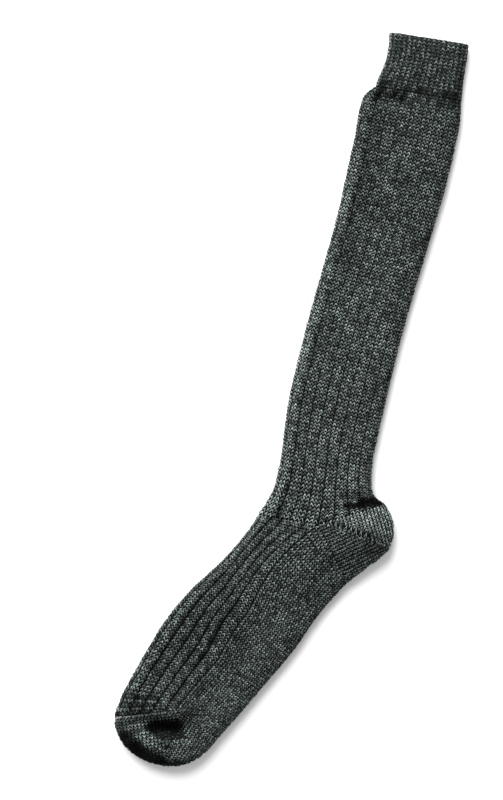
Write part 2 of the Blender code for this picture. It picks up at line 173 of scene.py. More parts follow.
# Columns: turn from the linked seam to the lower gore line, reach, rim height, fold
TOE_ROWS = (
    (0.000, 0.988, 1.30, 0.0),
    (0.040, 1.000, 1.30, -0.9),
    (0.085, 1.002, 1.35, 1.0),
    (0.130, 1.000, 1.40, -1.0),
    (0.175, 0.990, 1.45, 0.9),
    (0.220, 0.975, 1.50, -0.7),
    (0.270, 0.955, 1.54, 0.5),
    (0.330, 0.930, 1.55, 0.0),
    (0.400, 0.905, 1.55, 0.0),
    (0.480, 0.885, 1.52, 0.0),
    (0.560, 0.866, 1.48, 0.0),
    (0.640, 0.848, 1.42, 0.0),
    (0.720, 0.822, 1.36, 0.0),
    (0.800, 0.794, 1.30, 0.0),
    (0.880, 0.772, 1.24, 0.0),
    (0.945, 0.767, 1.18, 0.0),
    (1.000, 0.767, 1.15, 0.0),
)

# Dents in the upper face.  Columns: across, along, half length, half breadth, turn, depth
LEG_DENTS = (
    (-0.30, 0.968, 0.18, 0.07, 0.0, 0.26),
    (-0.26, 0.890, 0.42, 0.05, 103.0, 0.15),
    (0.36, 0.565, 0.14, 0.11, 60.0, 0.16),
    (0.28, 0.270, 0.22, 0.11, 80.0, 0.16),
    (0.42, 0.078, 0.22, 0.06, 8.0, 0.30),
    (-0.44, 0.020, 0.18, 0.05, -35.0, 0.12),
)
FOOT_DENTS = (
    (0.06, 0.438, 0.15, 0.10, 20.0, 0.15),
    (0.38, 0.250, 0.12, 0.08, 70.0, 0.20),
    (0.07, 0.880, 0.10, 0.06, -20.0, 0.14),
    (0.02, 1.085, 0.21, 0.085, -22.0, 0.78),
)

# Painted shade in the creases, the toe's dent, round the toe's rim and on the heel's lower half, painted
# highlights on the toe's lip and the heel's upper half, and darker and paler patches of the upper face,
# where they lie in the photograph.
# Columns: name; from x, y and to x, y, in pixels; breadth in pixels; how much paler the stitches are made
# there, or darker if below zero; how far the stitches sink, in millimetres
PAINTED_SHADE_AND_LIGHT = (
    # Painted shade in the crease between the leg and the heel
    ("heel crease, inner end", 346, 506, 362, 505, 3.2, -0.92, 0.8),
    ("heel crease", 362, 504, 391, 500, 5.5, -0.97, 1.4),
    ("heel crease, upper side", 373, 500, 387, 495, 4.5, -0.75, 0.6),
    # Painted shade in the toe's dent
    ("toe dent", 153, 725, 176, 725, 7.6, -0.99, 0.0),
    ("toe dent, right side", 181, 722, 194, 710, 8.0, -0.60, 0.0),
    ("toe dent, below", 160, 742, 168, 746, 5.0, -0.55, 0.0),
    # Painted shade in the last groove of the instep, on the ribs above the toe's dent and in the gathers
    # under the cuff
    ("last instep groove", 222, 620, 178, 694, 2.2, -0.60, 0.5),
    ("ribs above the toe dent", 150, 708, 178, 700, 4.0, -0.25, 0.0),
    ("gathers under the cuff", 380, 92, 402, 100, 5.0, -0.45, 0.5),
    ("leg, upper front", 366, 120, 362, 180, 10.0, -0.22, 0.0),
    ("leg, upper middle", 360, 205, 392, 210, 12.0, -0.22, 0.0),
    ("leg, middle front", 345, 240, 355, 268, 12.0, -0.16, 0.0),
    ("leg, middle", 335, 352, 352, 352, 11.0, -0.20, 0.0),
    ("leg, lower back", 350, 415, 374, 402, 12.0, -0.22, 0.0),
    ("leg, middle back", 404, 290, 398, 330, 8.0, -0.15, 0.0),
    ("leg, pale upper streak", 392, 150, 396, 190, 12.0, 0.10, 0.0),
    ("leg, pale middle streak", 385, 240, 340, 320, 16.0, 0.08, 0.0),
    ("leg, pale lower streak", 320, 440, 345, 480, 16.0, 0.08, 0.0),
    ("foot, dark middle", 236, 640, 222, 662, 16.0, -0.24, 0.0),
    ("foot, dark patch by the heel", 274, 592, 262, 612, 13.0, -0.20, 0.0),
    ("foot, dark instep", 196, 632, 180, 650, 10.0, -0.15, 0.0),
    # Painted shade on the sole's edge under the heel and on the heel's lower half, which face away from the
    # light
    ("foot, under the heel", 330, 562, 300, 600, 10.0, -0.34, 0.0),
    ("heel, lower half", 372, 545, 338, 562, 9.0, -0.42, 0.0),
    ("heel, lowest fold", 384, 545, 372, 554, 7.0, -0.35, 0.0),
    ("foot, pale patch", 268, 535, 245, 560, 16.0, 0.12, 0.0),
    # Painted highlight on the heel's upper half, which faces the light
    ("heel, upper half, painted highlight", 340, 519, 384, 521, 7.0, 0.30, 0.0),
    # Painted shade round the toe's rim, which faces away from the light
    ("toe rim, left", 123, 735, 136, 749, 8.5, -0.94, 0.5),
    ("toe rim", 136, 749, 160, 760, 8.5, -0.94, 0.5),
    ("toe rim, right", 158, 763, 188, 766, 6.0, -0.85, 0.0),
    ("toe rim, sole", 188, 766, 212, 750, 5.5, -0.60, 0.0),
    # Painted highlight on the toe's lip, which faces the light
    ("toe lip", 141, 731, 160, 746, 4.2, 0.95, -0.8),
    ("toe, pale patch", 178, 752, 205, 730, 9.0, 0.15, 0.0),
    ("sole, pale patch", 205, 720, 225, 700, 10.0, 0.08, 0.0),
)
CRISP_CREASE = -0.7
UPPER_FACE = 0.003

# The row of holes along the heel's suture, darkened with painted shade
SUTURE_START = (0.007, 0.004)
SUTURE_END = (0.042, 0.0)
SUTURE_HOLES = 8
HOLE_BREADTH = 0.0022
HOLE_PAINTED_SHADE = 0.93
HOLE_DEPTH = 0.0008

# Painted light and shade round the leg, as pairs of turn and light: a painted highlight on the first rib of
# the front fold, painted shade in the hollow after it and on the back fold
PAINTED_FOLD_LIGHT = (
    (0.0, 1.0),
    (0.030, 1.05),
    (0.040, 1.28),
    (0.068, 1.28),
    (0.076, 0.75),
    (0.084, 0.25),
    (0.096, 0.75),
    (0.14, 0.92),
    (0.20, 1.0),
    (0.42, 1.0),
    (0.46, 0.85),
    (0.49, 0.60),
    (0.60, 0.80),
    (0.94, 0.95),
    (1.0, 1.0),
)

FRONT, MID, BACK = slice(0, 2), slice(2, 4), slice(4, 6)
FRONT_HEIGHT, MID_HEIGHT, BACK_HEIGHT = 6, 7, 8
EDGE_SAMPLES = 120


# Surfaces of the cloth

def heading(degrees):
    return np.array((math.cos(math.radians(degrees)), math.sin(math.radians(degrees))))


def from_photo(x, y):
    """The place on the table of a pixel of the photograph, measured from the heel corner."""
    right, down = x - HEEL_CORNER_PIXEL[0], y - HEEL_CORNER_PIXEL[1]
    cos, sin = heading(PHOTO_TURN)
    return np.array((right * cos + down * sin, right * sin - down * cos)) * PIXEL


FOOT_ALONG = heading(FOOT_TURN)
FOOT_ACROSS = heading(FOOT_TURN + 90.0)
HEEL_CORNER = np.zeros(2)
TOE_CORNER = FOOT_ALONG * FOOT_LENGTH


def station(front, mid, back, front_height, back_height):
    mid_height = 0.5 * (front_height + back_height) * (1.0 + CROWN)
    return np.array((*front, *mid, *back, front_height, mid_height, back_height))


def ankle_line(back_turn, back_reach):
    front = heading(INSTEP_TURN) * INSTEP_REACH
    back = heading(back_turn) * back_reach * HEEL_REACH
    height = LEG_ROWS[0][4] * LYING_HEIGHT
    return station(front, HEEL_CORNER, back, height, height)


def toe_line():
    front = TOE_CORNER + heading(TOE_SEAM_TURN) * TOE_REACH * TOE_ROWS[0][1]
    back = TOE_CORNER + heading(TOE_SOLE_TURN) * TOE_REACH * TOE_ROWS[-1][1]
    return station(front, TOE_CORNER, back, TOE_ROWS[0][2] * LYING_HEIGHT, TOE_ROWS[-1][2] * LYING_HEIGHT)


def set_back(line, front_gap, back_gap):
    front, mid, back = line[FRONT], line[MID], line[BACK]
    first = (mid - front) / np.linalg.norm(mid - front)
    second = (back - mid) / np.linalg.norm(back - mid)
    first_left = np.array((-first[1], first[0]))
    second_left = np.array((-second[1], second[0]))
    shift = np.linalg.solve(np.array((first_left, second_left)), np.array((front_gap, back_gap)))
    moved = line.copy()
    moved[FRONT] = front + first_left * front_gap
    moved[MID] = mid + shift
    moved[BACK] = back + second_left * back_gap
    return moved


def cuff_stations():
    stations = []
    for along, front, back, tilt, height in CUFF_ROWS:
        y = LEG_LENGTH + SEAM_GAP + along * CUFF_LENGTH
        rise = tilt * CUFF_WIDTH * 0.5
        low = np.array((front * CUFF_WIDTH, y - rise))
        high = np.array((back * CUFF_WIDTH, y + rise))
        stations.append(station(low, (low + high) / 2, high, height * LYING_HEIGHT, height * LYING_HEIGHT))
    return stations


def leg_stations():
    ankle = set_back(ankle_line(HEEL_TOP_TURN, HEEL_ROWS[0][1]), SEAM_GAP / 2, SEAM_GAP / 2)
    stations = []
    for along, front, back, tilt, height, draw in LEG_ROWS:
        y = along * LEG_LENGTH
        rise = tilt * LEG_WIDTH * 0.5
        low = np.array((front * LEG_WIDTH, y - rise))
        high = np.array((back * LEG_WIDTH, y + rise))
        straight = station(low, (low + high) / 2, high, height * LYING_HEIGHT, height * LYING_HEIGHT)
        stations.append(straight * (1.0 - draw) + ankle * draw)
    return stations


def foot_stations():
    ankle = set_back(ankle_line(HEEL_SOLE_TURN, HEEL_ROWS[-1][1]), -SEAM_GAP / 2, -SEAM_GAP / 2)
    toe = set_back(toe_line(), SEAM_GAP + SEAM_CORD / 2, SEAM_GAP / 2)
    stations = []
    for along, front, mid, back, front_height, back_height, draw_ankle, draw_toe in FOOT_ROWS:
        centre = FOOT_ALONG * along * FOOT_LENGTH
        places = [centre + FOOT_ACROSS * share * FOOT_WIDTH for share in (front, mid, back)]
        straight = station(*places, front_height * LYING_HEIGHT, back_height * LYING_HEIGHT)
        plain = 1.0 - draw_ankle - draw_toe
        stations.append(straight * plain + ankle * draw_ankle + toe * draw_toe)
    return stations[::-1]


def dent_depth(x, y):
    depth = np.zeros_like(x)
    for rows, width, length, across_axis, along_axis in (
        (LEG_DENTS, LEG_WIDTH, LEG_LENGTH, heading(0.0), heading(90.0)),
        (FOOT_DENTS, FOOT_WIDTH, FOOT_LENGTH, FOOT_ACROSS, FOOT_ALONG),
    ):
        for across, along, reach, breadth, turn, deep in rows:
            centre = across_axis * across * width + along_axis * along * length
            run = math.cos(math.radians(turn)) * across_axis + math.sin(math.radians(turn)) * along_axis
            side = math.cos(math.radians(turn)) * along_axis - math.sin(math.radians(turn)) * across_axis
            off_run = (x - centre[0]) * run[0] + (y - centre[1]) * run[1]
            off_side = (x - centre[0]) * side[0] + (y - centre[1]) * side[1]
            near = (off_run / (reach * width)) ** 2 + (off_side / (breadth * width)) ** 2
            depth += deep * LYING_HEIGHT * np.exp(-near)
    return depth


def quarter(fold, mid, fold_height, mid_height, places, relief, upper):
    """Points from a fold (place 0) to the middle (place 1), over or under the sock."""
    width = np.linalg.norm(mid - fold)
    share = 1.0 - np.cos(np.linspace(0.0, math.pi / 2, EDGE_SAMPLES))
    across = share * width
    reach = EDGE_ROUND * fold_height
    swing = np.sqrt(1.0 - (1.0 - np.minimum(across / reach, 1.0)) ** 2)
    plateau = fold_height + (mid_height - fold_height) * np.sin(share * math.pi / 2)
    half = fold_height / 2
    height = half + (plateau - half) * swing if upper else half - half * swing
    steps = np.hypot(np.diff(across), np.diff(height))
    run = np.concatenate(([0.0], np.cumsum(steps)))
    out_across = -np.gradient(height, run) if upper else np.gradient(height, run)
    out_height = np.gradient(across, run) if upper else -np.gradient(across, run)
    wanted = np.asarray(places) * run[-1]
    along = (mid - fold) / width
    inward = np.interp(wanted, run, across) - relief * np.interp(wanted, run, out_across)
    z = np.interp(wanted, run, height) - relief * np.interp(wanted, run, out_height)
    outer_across = np.interp(wanted, run, across)
    if upper:
        pressed = np.interp(wanted, run, swing) ** 2
        z = z - dent_depth(fold[0] + along[0] * outer_across, fold[1] + along[1] * outer_across) * pressed
    return np.column_stack((fold[0] + along[0] * inward, fold[1] + along[1] * inward, z))


def ring(line, turns, relief):
    """Points round a section.  Turn 0 is the front fold, 0.5 the back fold, 0.25 the upper middle."""
    turns = np.asarray(turns) % 1.0
    relief = np.broadcast_to(np.asarray(relief, dtype=float), turns.shape)
    points = np.zeros((len(turns), 3))
    for start, fold, height, upper, from_fold in (
        (0.0, FRONT, FRONT_HEIGHT, True, True),
        (0.25, BACK, BACK_HEIGHT, True, False),
        (0.5, BACK, BACK_HEIGHT, False, True),
        (0.75, FRONT, FRONT_HEIGHT, False, False),
    ):
        chosen = (turns >= start) & (turns < start + 0.25)
        share = (turns[chosen] - start) / 0.25
        places = share if from_fold else 1.0 - share
        points[chosen] = quarter(line[fold], line[MID], line[height], line[MID_HEIGHT], places,
                                 relief[chosen], upper)
    return points


class Tube:
    """A knitted tube through its stations, smoothed along its length."""

    STEP = 0.001

    def __init__(self, stations, softness=0.0025):
        rows = np.array(stations)
        moves = [np.linalg.norm(np.diff(rows[:, part], axis=0), axis=1) for part in (FRONT, MID, BACK)]
        run = np.concatenate(([0.0], np.cumsum(np.mean(moves, axis=0))))
        count = int(round(run[-1] / self.STEP))
        fine = np.linspace(0.0, run[-1], count + 1)
        dense = np.column_stack([np.interp(fine, run, rows[:, k]) for k in range(rows.shape[1])])
        pad = int(3 * softness / self.STEP)
        weights = np.exp(-0.5 * (np.arange(-pad, pad + 1) * self.STEP / softness) ** 2)
        weights /= weights.sum()
        wide = np.vstack((2 * dense[0] - dense[pad:0:-1], dense, 2 * dense[-1] - dense[-2:-pad - 2:-1]))
        self.lines = np.column_stack([np.convolve(wide[:, k], weights, "valid") for k in range(9)])
        self.share = fine / run[-1]

    def line(self, share):
        return np.array([np.interp(share, self.share, self.lines[:, k]) for k in range(9)])


class Pocket:
    """A heel or toe pocket, whose rays fan out round its corner."""

    def __init__(self, corner, shifted, corner_height, rows):
        self.corner = corner
        self.shifted = shifted
        self.corner_height = corner_height
        order = np.argsort([row[0] for row in rows])
        self.rows = np.array(rows)[order]

    def ray(self, turn):
        return [np.interp(turn, self.rows[:, 0], self.rows[:, k]) for k in range(1, 5)]

    def point(self, turn, share, upper, relief):
        reach, rim_height, rise, fold = self.ray(turn)
        if share > 1.0:
            share = 2.0 - share
            upper = not upper
        direction = heading(turn)
        rim = self.shifted + direction * (reach - np.dot(self.shifted - self.corner, direction))
        place = 1.0 - share
        spot = quarter(rim, self.shifted, rim_height, self.corner_height, [place], relief, upper)[0]
        if upper:
            near_rim = math.sin(min(place * 2.0, 1.0) * math.pi / 2) * share
            spot[2] += rise * math.sin(place * math.pi) + fold * near_rim
        return spot

    def flat_share(self, x, y):
        """Turn and share of the reach of a point of the opened-out cloth, measured from the corner."""
        turn = math.degrees(math.atan2(y, x))
        turn -= 360.0 if turn > LARGEST_TURN else 0.0
        reach, rim_height, _rise, _fold = self.ray(turn)
        return turn, math.hypot(x, y) / (reach + RIM_ROLL * rim_height)

    def flat_point(self, x, y, upper, relief):
        turn, share = self.flat_share(x, y)
        return self.point(turn, share, upper, relief)


def heel_pocket():
    opening = HEEL_TOP_TURN - HEEL_SOLE_TURN
    away = SEAM_GAP / 2 / math.sin(math.radians(opening / 2))
    shifted = HEEL_CORNER + heading((HEEL_TOP_TURN + HEEL_SOLE_TURN) / 2) * away
    rows = [(HEEL_TOP_TURN - turn * opening, reach * HEEL_REACH, height * LYING_HEIGHT,
             rise * LYING_HEIGHT, 0.0) for turn, reach, height, rise in HEEL_ROWS]
    return Pocket(HEEL_CORNER, shifted, ankle_line(HEEL_TOP_TURN, 1.0)[MID_HEIGHT], rows)


def toe_pocket():
    line = set_back(toe_line(), -SEAM_GAP - SEAM_CORD / 2, -SEAM_GAP / 2)
    rows = [(TOE_SEAM_TURN + turn * (TOE_SOLE_TURN - TOE_SEAM_TURN), reach * TOE_REACH,
             height * LYING_HEIGHT, 0.0, fold * GATHER_DEPTH) for turn, reach, height, fold in TOE_ROWS]
    return Pocket(TOE_CORNER, line[MID], line[MID_HEIGHT], rows)


def plan_middle():
    lines = cuff_stations() + leg_stations() + foot_stations() + [toe_line()]
    edges = [ring(line, (0.0, 0.5), 0.0)[:, :2] for line in lines]
    for turn, reach, _height, _rise in HEEL_ROWS:
        degrees = HEEL_TOP_TURN + turn * (HEEL_SOLE_TURN - HEEL_TOP_TURN)
        edges.append([HEEL_CORNER + heading(degrees) * reach * HEEL_REACH])
    for turn, reach, _height, _fold in TOE_ROWS:
        degrees = TOE_SEAM_TURN + turn * (TOE_SOLE_TURN - TOE_SEAM_TURN)
        edges.append([TOE_CORNER + heading(degrees) * reach * TOE_REACH])
    places = np.vstack(edges)
    return (places.min(axis=0) + places.max(axis=0)) / 2


MIDDLE = np.array((*plan_middle(), 0.0))


# Relief of the ribs and the creases

def rib_relief(turns, ribs, depth):
    """How far the cloth lies below the ribs' tops."""
    off = np.abs((np.asarray(turns) * ribs + 0.5) % 1.0 - 0.5)
    sunk = np.clip((off - 0.16) / 0.34, 0.0, 1.0)
    return depth * sunk * sunk * (3.0 - 2.0 * sunk)


def nearness(points, start, end, breadth, crispness):
    """How near places of the upper face are to a line: 1 on it, and close to 0 past its breadth."""
    run = end - start
    share = np.clip((points[:, :2] - start) @ run / (run @ run), 0.0, 1.0)
    away = np.linalg.norm(points[:, :2] - start - share[:, None] * run, axis=1)
    return np.exp(-((away / breadth) ** crispness)) * (points[:, 2] > UPPER_FACE)


def painted_shade_and_sink_at(points):
    """Painted shade and light, and the depth, of the creases and patches at places on the upper face."""
    shade = np.ones(len(points))
    sink = np.zeros(len(points))
    for _name, x0, y0, x1, y1, breadth, paler, deep in PAINTED_SHADE_AND_LIGHT:
        crispness = 4 if paler < CRISP_CREASE else 2
        near = nearness(points, from_photo(x0, y0), from_photo(x1, y1), breadth * PIXEL, crispness)
        shade *= 1.0 + paler * near
        sink += deep * 0.001 * near
    near = nearness(points, np.array(SUTURE_START), np.array(SUTURE_END), HOLE_BREADTH, 4)
    return shade * (1.0 - HOLE_PAINTED_SHADE * near), sink + HOLE_DEPTH * near


# Stitch beds: where each stitch lies, which way it runs, its size and its tone

class Bed:
    def __init__(self):
        self.place, self.along, self.out, self.size, self.tone = [], [], [], [], []

    def add(self, place, along, across, outward, tone, width=1.0):
        """Adds stitches; along is one course long and across one wale wide."""
        tall = np.linalg.norm(along, axis=1)
        wide = np.linalg.norm(across, axis=1)
        out = np.cross(across, along)
        out /= np.maximum(np.linalg.norm(out, axis=1), 1e-12)[:, None]
        out *= np.where(np.sum(out * outward, axis=1) < 0.0, -1.0, 1.0)[:, None]
        self.place.append(place)
        self.along.append(along / np.maximum(tall, 1e-12)[:, None])
        self.out.append(out)
        thick = np.clip(np.sqrt(wide * tall) / math.sqrt(LOOP_WIDTH * LOOP_HEIGHT), 0.75, 1.25)
        self.size.append(np.column_stack((wide * width / LOOP_WIDTH, tall / LOOP_HEIGHT, thick)))
        self.tone.append(tone)

    def whole(self):
        return [np.concatenate(part) for part in (self.place, self.along, self.out, self.size, self.tone)]


def as_given(turns, share):
    return turns


def instep_spread(share):
    """How far, in turns, the instep's ribs spread over the sides at mid foot."""
    return np.interp(share, (0.0, 0.12, 0.35, 0.6, 0.85, 1.0), (0.0, 0.022, 0.052, 0.050, 0.018, 0.0))


def foot_wales(turns, share):
    """Where the foot's wales lie: the toe's gathers pull the instep's ribs in."""
    return turns + instep_spread(share) * np.sin(2 * math.pi * turns)


def tube_bed(tube, first, last, courses, turns, wale_turn, relief, tone, lay=as_given, **sizes):
    """Stitches of a tube's courses from first to last, at the given turns."""
    bed = Bed()
    for course in range(first, last):
        share = (course + 0.5) / courses
        half = 0.5 / courses
        lines = [tube.line(share - half), tube.line(share), tube.line(share + half)]
        deep = relief(turns, share)
        place = ring(lines[1], lay(turns, share), deep + YARN)
        shade, extra = painted_shade_and_sink_at(place)
        place[:, 2] -= extra
        along = (ring(lines[2], lay(turns, share + half), deep)
                 - ring(lines[0], lay(turns, share - half), deep))
        left, right = turns - wale_turn / 2, turns + wale_turn / 2
        across = (ring(lines[1], lay(right, share), relief(right, share))
                  - ring(lines[1], lay(left, share), relief(left, share)))
        centre = np.array((*lines[1][MID], lines[1][MID_HEIGHT] / 2))
        outward = place - centre
        outward[:, :2] *= 0.15
        bed.add(place, along, across, outward, tone(turns, share) * shade, **sizes)
    return bed


def pocket_bed(pocket, gore_turn, suture_turn, towards_cuff, tone):
    """Stitches of one half of a pocket, in courses that run out along its gore line."""
    bed = Bed()
    gore = heading(gore_turn)
    side = 1.0 if suture_turn > gore_turn else -1.0
    inward = np.array((-gore[1], gore[0])) * side
    span = abs(suture_turn - gore_turn)
    places, alongs, acrosses, outs, tones = [], [], [], [], []
    for upper in (True, False):
        for course in range(POCKET_COURSES):
            for wale in range(*POCKET_WALES):
                flat = gore * (wale + 0.5) * POCKET_WALE + inward * (course + 0.5) * POCKET_COURSE
                turn, share = pocket.flat_share(*flat)
                if share > 1.0 or (turn - gore_turn) * side < 0.0 or (turn - gore_turn) * side > span:
                    continue

                def at(offset):
                    return pocket.flat_point(*(flat + offset * PROBE), upper, YARN)

                spot = at(np.zeros(2))
                run = (at(inward) - at(-inward)) / (2 * PROBE) * POCKET_COURSE * towards_cuff
                cross = (at(gore) - at(-gore)) / (2 * PROBE) * POCKET_WALE
                _reach, rim_height, _rise, _fold = pocket.ray(turn)
                centre = np.array((*(pocket.corner + 0.8 * (spot[:2] - pocket.corner)), rim_height / 2))
                places.append(spot)
                alongs.append(run)
                acrosses.append(cross)
                outs.append(spot - centre)
                tones.append(tone(turn, share))
    places = np.array(places)
    shade, extra = painted_shade_and_sink_at(places)
    places[:, 2] -= extra
    bed.add(places, np.array(alongs), np.array(acrosses), np.array(outs), np.array(tones) * shade)
    return bed


# Finishes

def link(tree, source, target):
    tree.links.new(source, target)


def feed(tree, value, socket):
    """Sets a socket to a number or a colour, or links an output to it."""
    if isinstance(value, (int, float, tuple)):
        socket.default_value = value
    else:
        link(tree, value, socket)


def math_node(tree, operation, first, second=None):
    node = tree.nodes.new("ShaderNodeMath")
    node.operation = operation
    feed(tree, first, node.inputs[0])
    if second is not None:
        feed(tree, second, node.inputs[1])
    return node.outputs[0]


def mix_colour(tree, share, first, second, blend="MIX"):
    node = tree.nodes.new("ShaderNodeMix")
    node.data_type = "RGBA"
    node.blend_type = blend
    colours = [socket for socket in node.inputs if socket.type == "RGBA"]
    feed(tree, share, node.inputs["Factor"])
    feed(tree, first, colours[0])
    feed(tree, second, colours[1])
    return next(socket for socket in node.outputs if socket.type == "RGBA")


def noise(tree, coordinate, scale, detail=2.0, roughness=0.5):
    node = tree.nodes.new("ShaderNodeTexNoise")
    node.inputs["Scale"].default_value = scale
    node.inputs["Detail"].default_value = detail
    node.inputs["Roughness"].default_value = roughness
    link(tree, coordinate, node.inputs["Vector"])
    return node.outputs["Fac"]


def stretch(tree, value, low, high, to_low, to_high):
    node = tree.nodes.new("ShaderNodeMapRange")
    for name, number in (("From Min", low), ("From Max", high), ("To Min", to_low), ("To Max", to_high)):
        node.inputs[name].default_value = number
    link(tree, value, node.inputs["Value"])
    return node.outputs["Result"]


def attribute(tree, name):
    node = tree.nodes.new("ShaderNodeAttribute")
    node.attribute_name = name
    return node


def wool_base(name):
    material = bpy.data.materials.new(name)
    material.use_nodes = True
    shader = material.node_tree.nodes["Principled BSDF"]
    shader.inputs["Roughness"].default_value = 0.92
    shader.inputs["Specular IOR Level"].default_value = 0.04
    shader.inputs["Sheen Weight"].default_value = 0.02
    shader.inputs["Sheen Roughness"].default_value = 0.45
    shader.inputs["Sheen Tint"].default_value = (0.80, 0.88, 0.85, 1.0)
    return material, material.node_tree, shader


def shaded(tree, shader, colour, shade):
    """Gives the wool its colour, darker or paler by a shade."""
    grey = tree.nodes.new("ShaderNodeCombineColor")
    for channel in ("Red", "Green", "Blue"):
        link(tree, shade, grey.inputs[channel])
    link(tree, mix_colour(tree, 1.0, colour, grey.outputs[0], "MULTIPLY"), shader.inputs["Base Color"])


def fuzzy(tree, shader, height, strength, distance):
    bump = tree.nodes.new("ShaderNodeBump")
    bump.inputs["Strength"].default_value = strength
    bump.inputs["Distance"].default_value = distance
    link(tree, height, bump.inputs["Height"])
    link(tree, bump.outputs[0], shader.inputs["Normal"])


def marled_yarn(name, dark, light):
    """Two plies twisted together, one paler than the other, each with its own flecks."""
    material, tree, shader = wool_base(name)
    spot = tree.nodes.new("ShaderNodeTexCoord").outputs["Object"]
    tone = attribute(tree, "tone").outputs["Fac"]
    lift = attribute(tree, "lift").outputs["Fac"]
    run = attribute(tree, "yarn_run").outputs["Fac"]
    round_yarn = tree.nodes.new("ShaderNodeSeparateXYZ")
    link(tree, attribute(tree, "yarn_round").outputs["Vector"], round_yarn.inputs[0])
    twist = math_node(tree, "MULTIPLY", run, 9.0)
    ply = math_node(tree, "ADD",
                    math_node(tree, "MULTIPLY", round_yarn.outputs["X"], math_node(tree, "COSINE", twist)),
                    math_node(tree, "MULTIPLY", round_yarn.outputs["Y"], math_node(tree, "SINE", twist)))
    flecks = stretch(tree, noise(tree, spot, 560.0, 3.0, 0.65), 0.38, 0.62, 0.0, 1.0)
    marl = math_node(tree, "ADD", math_node(tree, "MULTIPLY", flecks, 0.80),
                     math_node(tree, "MULTIPLY", stretch(tree, ply, -1.0, 1.0, 0.0, 1.0), 0.20))
    yarn = mix_colour(tree, marl, dark, light)
    # Painted shade low on each loop of yarn and painted light on its top, from its height in the loop
    root = stretch(tree, lift, -0.5, 1.25, 0.02, 1.30)
    cloud = stretch(tree, noise(tree, spot, 60.0, 4.0, 0.7), 0.3, 0.7, 0.80, 1.20)
    shade = math_node(tree, "MULTIPLY", math_node(tree, "MULTIPLY", tone, root), cloud)
    shaded(tree, shader, yarn, shade)
    fibres = noise(tree, spot, 2600.0, 3.0, 0.65)
    twisted = math_node(tree, "ADD", math_node(tree, "MULTIPLY", ply, 0.6), fibres)
    fuzzy(tree, shader, twisted, 0.5, 0.0002)
    return material


def painted_shade_cloth(name, dark, light):
    """The wool seen between and behind the stitches, near black: painted shade in the gaps between them."""
    material, tree, shader = wool_base(name)
    spot = tree.nodes.new("ShaderNodeTexCoord").outputs["Object"]
    tone = attribute(tree, "tone").outputs["Fac"]
    flecks = stretch(tree, noise(tree, spot, 700.0, 3.0, 0.6), 0.35, 0.65, 0.0, 1.0)
    shaded(tree, shader, mix_colour(tree, flecks, dark, light), tone)
    fuzzy(tree, shader, noise(tree, spot, 900.0, 3.0, 0.6), 0.8, 0.0004)
    return material


YARN_DARK = (0.010, 0.0125, 0.0115, 1.0)
YARN_LIGHT = (0.190, 0.226, 0.213, 1.0)
# Near black: painted shade for the gaps between the stitches
PAINTED_SHADE_DARK = (0.0015, 0.002, 0.0015, 1.0)
PAINTED_SHADE_LIGHT = (0.007, 0.009, 0.008, 1.0)


# The stitches' Geometry Nodes tree

def group_input(tree, name, kind, value):
    socket = tree.interface.new_socket(name, in_out="INPUT", socket_type=kind)
    socket.default_value = value
    return socket


def vector_of(tree, x, y, z):
    node = tree.nodes.new("ShaderNodeCombineXYZ")
    for value, socket in zip((x, y, z), node.inputs):
        feed(tree, value, socket)
    return node.outputs[0]


def store(tree, geometry, name, value, kind="FLOAT"):
    node = tree.nodes.new("GeometryNodeStoreNamedAttribute")
    node.data_type = kind
    node.domain = "POINT"
    node.inputs["Name"].default_value = name
    link(tree, geometry, node.inputs["Geometry"])
    link(tree, value, node.inputs["Value"])
    return node.outputs[0]


def named(tree, name, kind):
    node = tree.nodes.new("GeometryNodeInputNamedAttribute")
    node.data_type = kind
    node.inputs["Name"].default_value = name
    return node.outputs["Attribute"]


